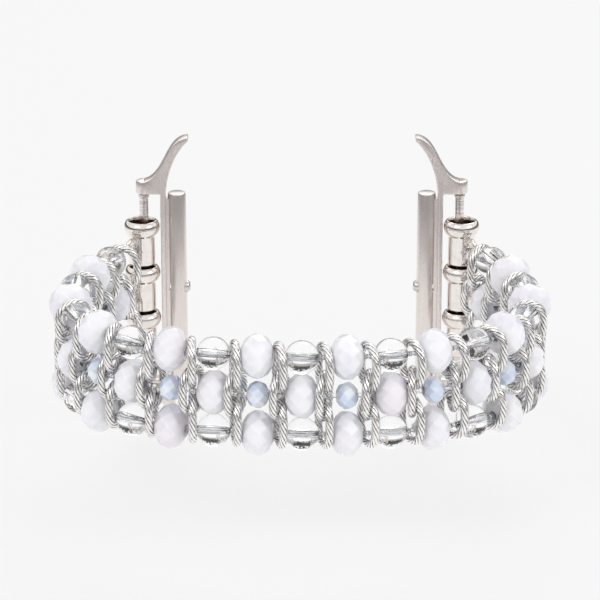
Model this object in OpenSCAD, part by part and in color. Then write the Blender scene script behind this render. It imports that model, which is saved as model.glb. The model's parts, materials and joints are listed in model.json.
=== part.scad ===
// Beaded elastic watch strap: three rows of beads on elastic cords, chains of
// interlinked wire links between the bead columns, three bails and one sprung
// slide-in adapter at each end. The loop stands on edge and Z runs across the strap.
// Millimetres. The front of the loop is at -Y and the watch end is at +Y.

/* [View] */
// Sub-part to show, or all
// Smoothness of round surfaces
round_steps = 48; // [24:8:96]

/* [Placing] */
// Shift that centres the bounding box along X
shift_x = 0.30; // [-5:0.01:5]
// Shift that centres the bounding box along Y
shift_y = 25.49; // [0:0.01:40]
// Height of the middle row above the floor
shift_z = 26.2; // [10:0.1:40]

/* [Beads] */
// Distance between bead columns along the strap
pitch = 6.75; // [6:0.05:8]
// Widest diameter of a white rondelle bead
white_d = 7.0; // [5:0.1:9]
// Length of a white rondelle bead along its cord
white_len = 4.6; // [3:0.1:6]
// Diameter of a round clear bead
clear_d = 5.2; // [4:0.1:6]
// Widest diameter of a small blue bead
blue_d = 4.2; // [3:0.1:5]
// Length of a small blue bead along its cord
blue_len = 3.3; // [2:0.1:4]
// Diameter of the bore through every bead
bead_bore_d = 1.2; // [1:0.05:1.6]
// Spacing of the rows in the middle of the strap
row_front = 6.2; // [6.1:0.05:7]
// Spacing of the rows at the last bead columns
row_end = 7.0; // [6.1:0.05:7.5]

/* [Cords] */
// Diameter of an elastic cord
cord_d = 0.8; // [0.5:0.05:1]
// Radius of the loop that ties a cord to its bail, to the middle of the cord
cord_loop_r = 0.9; // [0.7:0.05:1.2]
// Diameter of the knot that closes the loop of a cord
cord_knot_d = 1; // [0.9:0.05:1.3]
// Height of the outer cords where they reach the bails
cord_end_z = 7.85; // [7:0.05:8.2]

/* [Links] */
// Thickness of the twisted wire that a link is made of
link_wire_d = 1.1; // [0.8:0.05:1.4]
// Half width of a link, to the middle of its wire
link_half_w = 2.6; // [2:0.05:3]
// Half height of a link, to the middle of its wire
link_half_h = 3.4; // [3:0.05:4]
// Turn of each link about the vertical, so that neighbours pass through each other
link_turn = 17.5; // [10:0.5:25]
// Height of the outer links above the middle one at the front
link_rise = 4.5; // [4:0.05:5]
// Turn of the links in the last gap at each end
link_turn_end = 20; // [10:0.5:25]
// How much higher the outer links of the last gap stand, clear of the knots
link_end_lift = 0.35; // [0:0.05:0.6]
// How far a link moves towards the wrist for each degree that its gap bends
link_shift_per_deg = 0.024; // [0:0.001:0.05]

/* [Loop shape] */
// Distance from the spring bars to the middle of the front bead column
loop_depth = 49.9; // [40:0.1:60]
// Slope of the middle bead column, which rises towards the left side
middle_slope = 2.0; // [-10:0.1:10]
// Bend at each gap near the front on the left side, degrees
left_front_bend = 4.494; // [0:0.0001:12]
// Greatest bend at a gap on the left side, degrees
left_corner_bend = 20.0919; // [0:0.001:24]
// Gap at which the left side bends most, counted from the middle
left_corner_gap = 5.3; // [2:0.1:8]
// Width of the left corner in gaps
left_corner_width = 2.5; // [1:0.1:5]
// Bend at each gap near the front on the right side, degrees
right_front_bend = 5.4039; // [0:0.0001:12]
// Greatest bend at a gap on the right side, degrees
right_corner_bend = 19.6984; // [0:0.0001:24]
// Gap at which the right side bends most, counted from the middle
right_corner_gap = 5.0; // [2:0.1:8]
// Width of the right corner in gaps
right_corner_width = 2.5; // [1:0.1:5]
// Bend at each gap near the watch end, degrees
flank_bend = 6.0; // [0:0.1:12]

/* [Bails] */
// Distance from the last gap to the spring bar
bail_reach = 6.4; // [5:0.1:7]
// Spacing of the bails along the spring bar
bail_pitch = 8.0; // [7:0.1:9]
// Height of one bail
bail_h = 7.7; // [6:0.1:8.8]
// Diameter of the rolled rim of a bail
bail_rim_d = 6.0; // [5:0.1:6.5]
// Diameter of the body of a bail
bail_body_d = 4.4; // [3:0.1:5]
// Sideways offset of the bail body from the spring bar
bail_offset = 0.7; // [0:0.05:1]
// Running clearance of the bail on the spring bar, radial
bail_clearance = 0.05; // [0.02:0.01:0.1]
// Height of the rolled rim with the cone below it
bail_rim_h = 2.6; // [2:0.1:3.4]
// Depth of the mouth of a bail down to its bore
bail_mouth_depth = 4.4; // [3:0.1:5.4]
// Thickness of the wall of a bail
bail_wall = 0.35; // [0.25:0.05:0.6]
// Height of the eye above the foot of a bail
eye_z = 3.85; // [2:0.1:5]
// Radius of the eye to the middle of its wire
eye_r = 1.0; // [0.8:0.05:1.4]
// Thickness of the wire of the eye
eye_wire_d = 0.7; // [0.5:0.05:1]

/* [Spring bar] */
// Distance of each spring bar from the middle of the loop
bar_x = 26.15; // [20:0.01:32]
// Diameter of the tube of the spring bar
bar_tube_d = 1.5; // [1.3:0.05:1.8]
// Length of the tube of the spring bar
bar_tube_len = 32.2; // [20:0.1:34]
// Diameter of the sprung tips
bar_tip_d = 1.0; // [0.7:0.05:1.2]
// Length of a sprung tip
bar_tip_len = 5.4; // [3:0.1:8]
// Diameter of the collar at each end of the tube
bar_collar_d = 1.8; // [1.6:0.1:2.4]
// Height of each collar
bar_collar_h = 0.4; // [0.2:0.1:1]
// Running clearance of the tips, radial
tip_clearance = 0.05; // [0.02:0.01:0.1]

/* [Adapter] */
// Clear width between the two bosses that hold the spring bar
boss_gap = 32.8; // [20:0.1:34]
// Height of one boss
boss_h = 2.2; // [2:0.1:4]
// Diameter of one boss
boss_d = 2.6; // [2.4:0.1:4]
// Depth of the blind hole for the tip of the spring bar
boss_hole_depth = 1.4; // [1:0.1:2.2]
// Distance of the face against the watch case from the middle of the loop
case_x = 22.6; // [15:0.1:25]
// Thickness of the wall between the bosses
wall_t = 0.8; // [0.6:0.1:2]
// Depth of the wall and the horns from front to back
wall_depth = 2.4; // [2:0.1:6]
// Length by which the foot of each horn laps onto the wall
foot_lap = 2.2; // [1:0.1:3]
// Half length of the straight part of the face against the case
case_straight = 14.5; // [8:0.1:20]
// Distance along X over which the corner of the case curves away
case_corner = 7.2; // [5:0.1:9]
// Half length of the adapter to the tips of its horns
horn_z = 26.2; // [18:0.1:28]
// Distance of a horn tip from the middle of the loop
horn_x = 18.7; // [12:0.1:22]
// Diameter of the round rail that slides into the slot of the case
rail_d = 3.0; // [2:0.1:4]
// Length of the rail
rail_len = 33.0; // [20:0.5:40]
// Distance of the rail from the face against the case
rail_reach = 1.9; // [1.6:0.1:3]
// Thickness of the neck that carries the rail
neck_t = 1.5; // [1:0.1:2.5]

/* [Lock plunger] */
// Diameter of the sprung plunger that locks the rail in its slot
plunger_d = 2.0; // [1.4:0.1:2.2]
// Length of the plunger
plunger_len = 2.6; // [1.5:0.1:4]
// How far the plunger stands out of the rail
plunger_out = 0.6; // [0.3:0.1:1]
// Depth of the plunger's bore beyond the middle of the rail
plunger_depth = 1.4; // [0.5:0.1:1.6]
// Running clearance of the plunger in its bore, radial
plunger_clearance = 0.05; // [0.02:0.01:0.1]

/* [Hidden] */
// White beads
white_colour = [0.92, 0.92, 0.95];
// Round clear beads
clear_colour = [0.86, 0.88, 0.90];
// Blue beads
blue_colour = [0.66, 0.78, 0.92];
// Elastic cord
cord_colour = [0.80, 0.82, 0.85];
// Wire links
link_colour = [0.75, 0.75, 0.76];
// Bails
bail_colour = [0.82, 0.80, 0.78];
// Adapters and spring bars
steel_colour = [0.72, 0.71, 0.70];
side_columns = 10;
left = -1;
right = 1;
root_pos = [0, -loop_depth];
link_straight = link_half_h - link_half_w;
eye_x = bail_body_d / 2 + bail_offset + eye_r - eye_wire_d / 2;
loop_x = eye_x + cord_loop_r;
knot_x = loop_x + cord_loop_r + 0.1;
knot_roll = 40;
cord_collar = 0.3;
cord_gap = 0.09;
bar_bore_d = bar_tip_d + 2 * tip_clearance;
wall_x = case_x + wall_t;
horn_tip = 0.7;
// Turn at which the ellipse of the case's corner begins, at the tip of the horn.
tip_turn = asin(1 - (case_x - horn_x) / case_corner);
// Rise of the case's corner from its straight part to the tip of the horn.
corner_rise = (horn_z - horn_tip - case_straight) / cos(tip_turn);
profile_steps = 12;

// Bend at gap i of one side, where gap 0 lies beside the middle column.
function front_bend(s) = s == left ? left_front_bend : right_front_bend;
function corner_bend(s) = s == left ? left_corner_bend : right_corner_bend;
function corner_gap(s) = s == left ? left_corner_gap : right_corner_gap;
function corner_width(s) = s == left ? left_corner_width : right_corner_width;
function base_bend(s, i) = i > corner_gap(s) ? flank_bend : front_bend(s);
function bump(s, i) = exp(-pow((i - corner_gap(s)) / corner_width(s), 2));
function bend(s, i) = base_bend(s, i) + (corner_bend(s) - base_bend(s, i)) * bump(s, i);

// Direction of column n of one side, as an angle from the outward X direction.
function course(s, n) = n == 0 ? -s * middle_slope : course(s, n - 1) + bend(s, n - 1);
function along(s, a) = [s * cos(a), sin(a)];
// Gap i lies half a pitch beyond column i.
function gap_pos(s, i) = i == 0
    ? root_pos + along(s, course(s, 0)) * pitch / 2
    : gap_pos(s, i - 1) + along(s, course(s, i)) * pitch;
function column_pos(s, n) = n == 0 ? root_pos
    : gap_pos(s, n - 1) + along(s, course(s, n)) * pitch / 2;
function arm_course(s) = course(s, side_columns + 1);
function bar_pos(s) = gap_pos(s, side_columns) + along(s, arm_course(s)) * bail_reach;

// Rows spread from the front towards the watch end.
function row_z(n) = row_front + (row_end - row_front) * pow(n / side_columns, 2);
function cord_z(i) = i < side_columns ? (row_z(i) + row_z(i + 1)) / 2 : row_z(side_columns) + 0.1;
function link_z(i) = link_rise + 0.3 * (cord_z(i) - row_front) + (i < side_columns ? 0 : link_end_lift);

// Places children at a point of the loop, turned so that local X runs outwards along the strap.
module at_loop(s, p, a) {
    translate([shift_x + p[0], shift_y + p[1], shift_z])
        rotate([0, 0, s == right ? a : 180 - a])
            children();
}

// Lays a turned shape on its side, so that its axis runs along the strap.
module lay_along() {
    rotate([0, 90, 0]) children();
}

// Rondelle bead with flat ends, turned about its bore.
module rondelle(d, len) {
    r = d / 2;
    h = len / 2;
    b = bead_bore_d / 2;
    lay_along()
        rotate_extrude($fn = round_steps)
            polygon([
                [b, -h], [r * 0.34, -h], [r * 0.54, -h * 0.85], [r * 0.71, -h * 0.65],
                [r * 0.915, -h * 0.37], [r, -h * 0.19], [r, h * 0.19], [r * 0.915, h * 0.37],
                [r * 0.71, h * 0.65], [r * 0.54, h * 0.85], [r * 0.34, h], [b, h]
            ]);
}

// Round bead with a through bore.
module round_bead(d) {
    lay_along()
        difference() {
            sphere(d = d, $fn = round_steps);
            cylinder(h = d + 1, d = bead_bore_d, center = true, $fn = round_steps);
        }
}

// Column of white, blue and white beads.
module white_column(n) {
    for (k = [-1, 1])
        translate([0, 0, k * row_z(n)]) color(white_colour) rondelle(white_d, white_len);
    color(blue_colour) rondelle(blue_d, blue_len);
}

// Column of clear, white and clear beads.
module clear_column(n) {
    for (k = [-1, 1])
        translate([0, 0, k * row_z(n)]) color(clear_colour) round_bead(clear_d);
    color(white_colour) rondelle(white_d, white_len);
}

module bead_column(s, n) {
    at_loop(s, column_pos(s, n), course(s, n))
        if (n % 2 == 0) clear_column(n); else white_column(n);
}

// One oval wire link standing on edge around the cord.
module wire_link() {
    for (k = [-1, 1]) {
        translate([0, k * link_half_w, 0])
            cylinder(h = 2 * link_straight, d = link_wire_d, center = true, $fn = round_steps);
        translate([0, 0, k * link_straight])
            rotate([k * 90, 0, 90]) half_ring(link_half_w, link_wire_d);
    }
}

// Half of a ring, on the positive side of its own Y axis.
module half_ring(r, d) {
    rotate_extrude(angle = 180, $fn = round_steps)
        translate([r, 0]) circle(d = d, $fn = 24);
}

// Chain of three interlinked links in gap i.
module link_chain(s, i) {
    mid = (course(s, i) + course(s, i + 1)) / 2;
    inward = s * link_shift_per_deg * bend(s, i);
    turn = i < side_columns ? link_turn : link_turn_end;
    at_loop(s, gap_pos(s, i), mid)
        translate([0, inward, 0])
            for (k = [-1, 0, 1])
                translate([0, 0, k * link_z(i)])
                    rotate([0, 0, k == 0 ? -turn : turn])
                        wire_link();
}

// Middle of the cord of row k in gap i.
function gap_point(s, i, k) = [
    shift_x + gap_pos(s, i)[0], shift_y + gap_pos(s, i)[1], shift_z + k * cord_z(i)];

// Point beside the bails, x from the spring bar along the arm and z above the middle.
function arm_point(s, x, z) = [
    shift_x + bar_pos(s)[0] - along(s, arm_course(s))[0] * x,
    shift_y + bar_pos(s)[1] - along(s, arm_course(s))[1] * x,
    shift_z + z];

// Points that the cord of one row runs through, from knot to knot.
function cord_path(k) = concat(
    [arm_point(left, knot_x, k * cord_end_z)],
    [for (i = [side_columns:-1:0]) gap_point(left, i, k)],
    [for (i = [0:side_columns]) gap_point(right, i, k)],
    [arm_point(right, knot_x, k * cord_end_z)]);

function unit(v) = v / norm(v);

// Children placed at p, with their Z axis pointing to q.
module towards(p, q) {
    v = q - p;
    translate(p) rotate([0, acos(v[2] / norm(v)), atan2(v[1], v[0])]) children();
}

// Round bar of diameter d from p to q.
module round_bar(p, q, d) {
    towards(p, q) cylinder(h = norm(q - p), d = d, $fn = 24);
}

// Cord of one row: straight runs joined by a short collar at each bend, and tied
// with a loop and a knot to the eye of each end bail.
module cord_row(k) {
    path = cord_path(k);
    last = len(path) - 1;
    for (n = [0:last - 1]) {
        v = unit(path[n + 1] - path[n]) * cord_gap;
        round_bar(n == 0 ? path[n] : path[n] + v,
            n == last - 1 ? path[n + 1] : path[n + 1] - v, cord_d);
    }
    for (n = [1:last - 1]) {
        v = unit(unit(path[n] - path[n - 1]) + unit(path[n + 1] - path[n])) * cord_collar / 2;
        round_bar(path[n] - v, path[n] + v, cord_d + 0.1);
    }
    for (s = [left, right]) {
        knot = s == left ? 0 : last;
        towards(path[knot], path[knot - s])
            rotate([0, 0, knot_roll]) sphere(d = cord_knot_d, $fn = 24);
        translate(arm_point(s, loop_x, k * cord_end_z))
            rotate_extrude($fn = 32)
                translate([cord_loop_r, 0]) circle(d = cord_d, $fn = 24);
    }
}

// Turned outline of the body and the rolled rim of one bail.
module bail_outline() {
    body_r = bail_body_d / 2;
    rim_r = bail_rim_d / 2;
    low = bail_h - bail_rim_h;
    throat = bail_h - bail_mouth_depth;
    bore_r = bar_tube_d / 2 + bail_wall;
    polygon([
        [0, 0], [body_r - bail_wall, 0], [body_r, bail_wall], [body_r, low],
        [body_r + bail_rim_h * 0.13, low + bail_rim_h * 0.12],
        [rim_r - bail_rim_h * 0.06, low + bail_rim_h * 0.31], [rim_r, low + bail_rim_h * 0.54],
        [rim_r - bail_rim_h * 0.04, bail_h - bail_rim_h * 0.23],
        [rim_r - bail_rim_h * 0.15, bail_h - bail_rim_h * 0.06],
        [rim_r - bail_rim_h * 0.25, bail_h],
        [rim_r - bail_rim_h * 0.33, bail_h - bail_rim_h * 0.06],
        [rim_r - bail_rim_h * 0.35, bail_h - bail_rim_h * 0.42],
        [body_r - bail_wall, low + bail_rim_h * 0.12],
        [bore_r, throat + bail_mouth_depth * 0.2], [bore_r - bail_wall / 2, throat], [0, throat]
    ]);
}

// One bail: a hollow tube with a wide mouth, a collar on the spring bar and a side eye.
module bail() {
    difference() {
        union() {
            translate([-bail_offset, 0, 0])
                rotate_extrude($fn = round_steps) bail_outline();
            translate([-eye_x, 0, eye_z])
                rotate([90, 0, 0])
                    rotate_extrude($fn = 32)
                        translate([eye_r, 0]) circle(d = eye_wire_d, $fn = 24);
        }
        translate([0, 0, -1])
            cylinder(h = bail_h + 2, d = bar_tube_d + 2 * bail_clearance, $fn = round_steps);
    }
}

module bail_stack(s) {
    at_loop(s, bar_pos(s), arm_course(s))
        for (k = [-1, 0, 1])
            translate([0, 0, k * bail_pitch - bail_h / 2])
                bail();
}

// Places children at the spring bar, mirrored for the left side, with X pointing outwards.
module at_bar(s) {
    translate([shift_x + bar_pos(s)[0], shift_y + bar_pos(s)[1], shift_z])
        mirror([s == left ? 1 : 0, 0, 0])
            children();
}

// Tube of the spring bar with a collar at each end and a bore for the sprung tips.
module bar_tube(s) {
    at_bar(s)
        difference() {
            union() {
                cylinder(h = bar_tube_len, d = bar_tube_d, center = true, $fn = round_steps);
                for (k = [-1, 1])
                    translate([0, 0, k * (bar_tube_len - bar_collar_h) / 2])
                        cylinder(h = bar_collar_h, d = bar_collar_d, center = true,
                            $fn = round_steps);
            }
            cylinder(h = bar_tube_len + 1, d = bar_bore_d, center = true, $fn = round_steps);
        }
}

// Sprung tip of the spring bar, above or below.
module bar_tip(s, k) {
    at_bar(s)
        translate([0, 0, k * (boss_gap / 2 + boss_hole_depth - 0.4)])
            mirror([0, 0, k > 0 ? 0 : 1])
                translate([0, 0, -bar_tip_len]) {
                    cylinder(h = bar_tip_len - 0.25, d = bar_tip_d, $fn = round_steps);
                    translate([0, 0, bar_tip_len - 0.25])
                        cylinder(h = 0.25, d1 = bar_tip_d, d2 = bar_tip_d - 0.4, $fn = round_steps);
                }
}

// Point on the case's corner, part of an ellipse, from its tip end at t = tip_turn to t = 90.
function case_arc(t) = [
    case_x - case_corner * (1 - sin(t)), case_straight + corner_rise * cos(t)];
function bezier(a, b, c, d, t) =
    pow(1 - t, 3) * a + 3 * t * pow(1 - t, 2) * b + 3 * t * t * (1 - t) * c + pow(t, 3) * d;

// Half outline of the adapter seen from the front, in distances from the middle of the loop.
module horn_outline() {
    foot_z = boss_gap / 2 - foot_lap;
    top_z = boss_gap / 2 + boss_h;
    inner = [for (i = [0:profile_steps])
        case_arc(tip_turn + i * (90 - tip_turn) / profile_steps)];
    outer = [for (i = [profile_steps:-1:0])
        bezier([horn_x, horn_z], [case_x, horn_z], [case_x, top_z + horn_tip],
            [bar_x, top_z], i / profile_steps)];
    polygon(concat(
        inner,
        [[case_x, foot_z], [wall_x, foot_z], [wall_x, boss_gap / 2], [bar_x, boss_gap / 2]],
        outer
    ));
}

// Adapter: wall against the case, horns with bosses for the spring bar, and the slot rail.
module adapter(s) {
    to_middle = -bar_x;
    rail_x = case_x - rail_reach + to_middle;
    at_bar(s)
        difference() {
            union() {
                for (k = [0, 1])
                    mirror([0, 0, k]) {
                        translate([to_middle, wall_depth / 2, 0])
                            rotate([90, 0, 0])
                                linear_extrude(height = wall_depth) horn_outline();
                        translate([0, 0, boss_gap / 2])
                            cylinder(h = boss_h, d = boss_d, $fn = round_steps);
                    }
                translate([case_x + to_middle, -wall_depth / 2, foot_lap - boss_gap / 2])
                    cube([wall_t, wall_depth, boss_gap - 2 * foot_lap]);
                translate([rail_x, -neck_t / 2, -rail_len / 2 + 1])
                    cube([rail_reach + 0.2, neck_t, rail_len - 2]);
                translate([rail_x, 0, 0])
                    cylinder(h = rail_len, d = rail_d, center = true, $fn = round_steps);
            }
            for (k = [0, 1])
                mirror([0, 0, k])
                    translate([0, 0, boss_gap / 2 - 0.5])
                        cylinder(h = boss_hole_depth + 0.5, d = bar_bore_d, $fn = round_steps);
            translate([rail_x - rail_d, 0, 0])
                rotate([0, 90, 0])
                    cylinder(h = rail_d + plunger_depth, d = plunger_d + 2 * plunger_clearance,
                        $fn = round_steps);
        }
}

// Sprung plunger in the middle of the rail.
module plunger(s) {
    rail_x = case_x - rail_reach - bar_x;
    at_bar(s)
        translate([rail_x - rail_d / 2 - plunger_out, 0, 0])
            rotate([0, 90, 0]) {
                cylinder(h = 0.4, d1 = plunger_d - 0.8, d2 = plunger_d, $fn = round_steps);
                translate([0, 0, 0.4])
                    cylinder(h = plunger_len - 0.4, d = plunger_d, $fn = round_steps);
            }
}

// Bead columns, counted from the middle of the strap.
module bead_column_middle() { bead_column(right, 0); }
module bead_column_left_1() { bead_column(left, 1); }
module bead_column_left_2() { bead_column(left, 2); }
module bead_column_left_3() { bead_column(left, 3); }
module bead_column_left_4() { bead_column(left, 4); }
module bead_column_left_5() { bead_column(left, 5); }
module bead_column_left_6() { bead_column(left, 6); }
module bead_column_left_7() { bead_column(left, 7); }
module bead_column_left_8() { bead_column(left, 8); }
module bead_column_left_9() { bead_column(left, 9); }
module bead_column_left_10() { bead_column(left, 10); }
module bead_column_right_1() { bead_column(right, 1); }
module bead_column_right_2() { bead_column(right, 2); }
module bead_column_right_3() { bead_column(right, 3); }
module bead_column_right_4() { bead_column(right, 4); }
module bead_column_right_5() { bead_column(right, 5); }
module bead_column_right_6() { bead_column(right, 6); }
module bead_column_right_7() { bead_column(right, 7); }
module bead_column_right_8() { bead_column(right, 8); }
module bead_column_right_9() { bead_column(right, 9); }
module bead_column_right_10() { bead_column(right, 10); }

// Link chains, counted from the middle of the strap.
module link_chain_left_1() { color(link_colour) link_chain(left, 0); }
module link_chain_left_2() { color(link_colour) link_chain(left, 1); }
module link_chain_left_3() { color(link_colour) link_chain(left, 2); }
module link_chain_left_4() { color(link_colour) link_chain(left, 3); }
module link_chain_left_5() { color(link_colour) link_chain(left, 4); }
module link_chain_left_6() { color(link_colour) link_chain(left, 5); }
module link_chain_left_7() { color(link_colour) link_chain(left, 6); }
module link_chain_left_8() { color(link_colour) link_chain(left, 7); }
module link_chain_left_9() { color(link_colour) link_chain(left, 8); }
module link_chain_left_10() { color(link_colour) link_chain(left, 9); }
module link_chain_left_11() { color(link_colour) link_chain(left, 10); }
module link_chain_right_1() { color(link_colour) link_chain(right, 0); }
module link_chain_right_2() { color(link_colour) link_chain(right, 1); }
module link_chain_right_3() { color(link_colour) link_chain(right, 2); }
module link_chain_right_4() { color(link_colour) link_chain(right, 3); }
module link_chain_right_5() { color(link_colour) link_chain(right, 4); }
module link_chain_right_6() { color(link_colour) link_chain(right, 5); }
module link_chain_right_7() { color(link_colour) link_chain(right, 6); }
module link_chain_right_8() { color(link_colour) link_chain(right, 7); }
module link_chain_right_9() { color(link_colour) link_chain(right, 8); }
module link_chain_right_10() { color(link_colour) link_chain(right, 9); }
module link_chain_right_11() { color(link_colour) link_chain(right, 10); }

// Elastic cords, one to each row.
module cord_upper() { color(cord_colour) cord_row(1); }
module cord_middle() { color(cord_colour) cord_row(0); }
module cord_lower() { color(cord_colour) cord_row(-1); }

// Bails, three at each end.
module bails_left() { color(bail_colour) bail_stack(left); }
module bails_right() { color(bail_colour) bail_stack(right); }

// Spring bars: tubes and sprung tips.
module bar_tube_left() { color(steel_colour) bar_tube(left); }
module bar_tube_right() { color(steel_colour) bar_tube(right); }
module bar_tip_left_upper() { color(steel_colour) bar_tip(left, 1); }
module bar_tip_left_lower() { color(steel_colour) bar_tip(left, -1); }
module bar_tip_right_upper() { color(steel_colour) bar_tip(right, 1); }
module bar_tip_right_lower() { color(steel_colour) bar_tip(right, -1); }

// Adapters that slide into the case.
module adapter_left() { color(steel_colour) adapter(left); }
module adapter_right() { color(steel_colour) adapter(right); }

// Plungers that lock the adapters.
module lock_plunger_left() { color(steel_colour) plunger(left); }
module lock_plunger_right() { color(steel_colour) plunger(right); }

bead_column_middle();
bead_column_left_1();
bead_column_left_2();
bead_column_left_3();
bead_column_left_4();
bead_column_left_5();
bead_column_left_6();
bead_column_left_7();
bead_column_left_8();
bead_column_left_9();
bead_column_left_10();
bead_column_right_1();
bead_column_right_2();
bead_column_right_3();
bead_column_right_4();
bead_column_right_5();
bead_column_right_6();
bead_column_right_7();
bead_column_right_8();
bead_column_right_9();
bead_column_right_10();
link_chain_left_1();
link_chain_left_2();
link_chain_left_3();
link_chain_left_4();
link_chain_left_5();
link_chain_left_6();
link_chain_left_7();
link_chain_left_8();
link_chain_left_9();
link_chain_left_10();
link_chain_left_11();
link_chain_right_1();
link_chain_right_2();
link_chain_right_3();
link_chain_right_4();
link_chain_right_5();
link_chain_right_6();
link_chain_right_7();
link_chain_right_8();
link_chain_right_9();
link_chain_right_10();
link_chain_right_11();
cord_upper();
cord_middle();
cord_lower();
bails_left();
bar_tube_left();
bar_tip_left_upper();
bar_tip_left_lower();
adapter_left();
lock_plunger_left();
bails_right();
bar_tube_right();
bar_tip_right_upper();
bar_tip_right_lower();
adapter_right();
lock_plunger_right();
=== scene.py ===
"""Beaded elastic watch strap: three rows of beads on clear elastic cords, chains of
twisted wire links between the bead columns, bails on spring bars and slot adapters."""

import json
import math
import random

import bmesh
import bpy
from bpy.props import FloatProperty, FloatVectorProperty, IntProperty, PointerProperty
from mathutils import Matrix, Vector


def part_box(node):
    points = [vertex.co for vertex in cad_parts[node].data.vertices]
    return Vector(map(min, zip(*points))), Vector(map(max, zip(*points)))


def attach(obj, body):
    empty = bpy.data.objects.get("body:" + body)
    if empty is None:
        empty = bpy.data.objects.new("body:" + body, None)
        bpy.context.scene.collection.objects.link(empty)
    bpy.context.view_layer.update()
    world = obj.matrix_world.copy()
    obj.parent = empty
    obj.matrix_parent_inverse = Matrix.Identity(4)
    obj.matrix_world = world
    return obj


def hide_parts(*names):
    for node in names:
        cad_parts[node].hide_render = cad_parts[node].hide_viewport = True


bl_info = {
    "name": "Beaded elastic watch strap",
    "version": (1, 0, 0),
    "blender": (4, 5, 0),
    "location": "3D View > Sidebar > Strap",
    "description": "Builds the beads, links, cords, bails and adapters of a beaded watch strap",
    "category": "Object",
}

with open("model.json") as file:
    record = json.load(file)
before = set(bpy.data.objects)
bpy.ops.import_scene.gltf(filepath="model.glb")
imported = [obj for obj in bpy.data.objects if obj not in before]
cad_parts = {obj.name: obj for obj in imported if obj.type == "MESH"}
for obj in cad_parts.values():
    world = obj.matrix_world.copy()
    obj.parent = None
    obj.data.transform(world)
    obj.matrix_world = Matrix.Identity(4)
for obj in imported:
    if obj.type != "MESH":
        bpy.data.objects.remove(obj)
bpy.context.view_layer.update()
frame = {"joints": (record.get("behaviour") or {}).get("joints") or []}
SIDES = ("left", "right")
ROWS = {"upper": 1, "middle": 0, "lower": -1}
COLUMNS = 10
MM = 0.001
UP = Vector((0, 0, 1))
# Bails: from one to the next, height of the eye, and how far the pull of the cord sets
# them off the spring bar.
BAIL_PITCH = 8.0 * MM
EYE_Z = 3.85 * MM
BAIL_OFFSET = 0.7 * MM
# Ends of the cords, counted from the spring bar and from the middle row.
KNOT_X, KNOT_R = 5.45 * MM, 0.5 * MM
LOOP_X, LOOP_R = 4.45 * MM, 0.9 * MM
CORD_END_Z = 7.85 * MM
# Spring bar, face of the case and slot rail, counted from the middle of the strap.
BAR_X, CASE_X, RAIL_X = 26.15 * MM, 22.6 * MM, 20.7 * MM
RAIL_R = 1.5 * MM
# The bosses that hold the spring bar, from the middle row.
BOSS_LOW, BOSS_TOP = 16.4 * MM, 18.6 * MM
BLACK, WHITE = (0, 0, 0), (1, 1, 1)


# places from the frame


def gap_points():
    """Middle of every gap between bead columns, by side, from the hinges of the links."""
    places = {}
    for joint in frame["joints"]:
        child = joint["child"]
        if child.startswith("links_"):
            side, n = child.split("_")[1:]
            places[side, int(n) - 1] = Vector(joint["pos_m"])
        if child.startswith("adapter_"):
            places[child.split("_")[1], "bar"] = Vector(joint["pos_m"])
    return places


PLACES = gap_points()
MIDDLE_Z = sum(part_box("bead_column_middle"), Vector()).z / 2


def gap(side, i):
    """Middle of gap i at the height of the middle row."""
    p = PLACES[side, i]
    return Vector((p.x, p.y, MIDDLE_Z))


def bar(side):
    """Axis of the spring bar at the height of the middle row."""
    p = PLACES[side, "bar"]
    return Vector((p.x, p.y, MIDDLE_Z))


def outward(side, n):
    """Direction of the strap at column n, away from the middle; n of COLUMNS + 1 is the end."""
    if n == 0:
        other = "left" if side == "right" else "right"
        return (gap(side, 0) - gap(other, 0)).normalized()
    if n == COLUMNS + 1:
        return (bar(side) - gap(side, COLUMNS)).normalized()
    return (gap(side, n) - gap(side, n - 1)).normalized()


def column_point(side, n):
    """Middle of column n at the height of the middle row."""
    if n == 0:
        return (gap("left", 0) + gap("right", 0)) / 2
    return (gap(side, n) + gap(side, n - 1)) / 2


def row_z(n):
    """Height of the outer rows over the middle one at column n."""
    return (6.2 + 0.8 * (n / COLUMNS) ** 2) * MM


def cord_z(i):
    """Height of the outer cords over the middle one in gap i."""
    return (row_z(i) + row_z(i + 1)) / 2 if i < COLUMNS else row_z(COLUMNS) + 0.1 * MM


def placed(point, along, spin=0.0, lift=0.0, slack=None):
    """Matrix that turns a model's X axis along the strap, then puts it at a point.
    A source of random numbers as slack lets a bead sit loosely, as on an elastic cord."""
    x = along.normalized()
    if slack:
        x = (x + Vector([slack.uniform(-0.05, 0.05) for _ in range(3)])).normalized()
        point = point + along.normalized() * slack.uniform(-0.07, 0.07) * MM
    y = UP.cross(x).normalized()
    z = x.cross(y)
    turn = Matrix((x, y, z)).transposed().to_4x4()
    return Matrix.Translation(point + UP * lift) @ turn @ Matrix.Rotation(spin, 4, "X")


def columns():
    """Every bead column as (side, n, body)."""
    yield "right", 0, "middle"
    for side in SIDES:
        for n in range(1, COLUMNS + 1):
            yield side, n, f"column_{side}_{n}"


def named(kind, side, n, word=""):
    """Name of a piece or node at column n, such as white_bead_left_3_upper."""
    place = f"{side}_{n}" if n else "middle"
    return "_".join(part for part in (kind, place, word) if part)


# modelling steps


def start_clean():
    """Object mode with nothing selected."""
    if bpy.context.object and bpy.context.object.mode != "OBJECT":
        bpy.ops.object.mode_set(mode="OBJECT")
    bpy.ops.object.select_all(action="DESELECT")


def only(obj):
    """Object mode with one object selected and active."""
    start_clean()
    obj.select_set(True)
    bpy.context.view_layer.objects.active = obj
    return obj


def edit(obj, kind="FACE", action="SELECT"):
    """Edit mode with the whole mesh selected, or none of it."""
    only(obj)
    bpy.ops.object.mode_set(mode="EDIT")
    bpy.ops.mesh.select_mode(type=kind)
    bpy.ops.mesh.select_all(action=action)


def leave(obj):
    bpy.ops.object.mode_set(mode="OBJECT")
    return obj


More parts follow.
